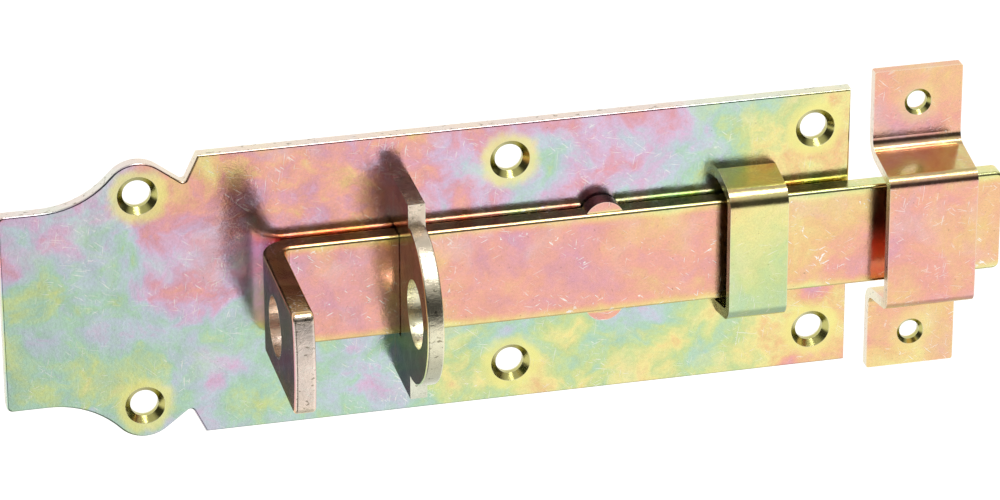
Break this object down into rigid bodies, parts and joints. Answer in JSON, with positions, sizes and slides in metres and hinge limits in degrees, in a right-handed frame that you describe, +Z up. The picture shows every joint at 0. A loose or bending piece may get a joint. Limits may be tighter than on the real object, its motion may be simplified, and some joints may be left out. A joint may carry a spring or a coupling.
{
  "type": "barrel bolt",
  "caption": "Padlockable barrel bolt: a flat sliding bolt with a turned-out eye runs through a fixed staple and a guide loop on a shaped plate, and enters a separate keep.",
  "frame": {"origin": "middle of the back plate's rear face, level with the bolt's centre line", "axes": "+X is the way the bolt is thrown, +Z is up, and +Y points from the front of the plate into the door"},
  "size_m": [0.236, 0.045, 0.0766],
  "materials": {
    "back_plate": "yellow-passivated zinc, iridescent",
    "bolt": "yellow-passivated zinc, scratched",
    "staple": "yellow-passivated zinc, sheared edges",
    "guide_loop": "yellow-passivated zinc",
    "keep": "yellow-passivated zinc"
  },
  "bodies": {
    "plate_assembly": {"back_plate": "back_plate", "staple": "staple", "guide_loop": "guide_loop"},
    "bolt": {"bolt": "bolt"},
    "keep": {"keep": "keep"}
  },
  "joints": [
    {"name": "bolt_slide", "type": "slide", "parent": "plate_assembly", "child": "bolt", "axis": [1, 0, 0], "range_m": [-0.038, 0.025]},
    {"name": "keep_lift_off", "type": "slide", "parent": "plate_assembly", "child": "keep", "axis": [1, 0, 0], "range_m": [0, 0.06]}
  ]
}
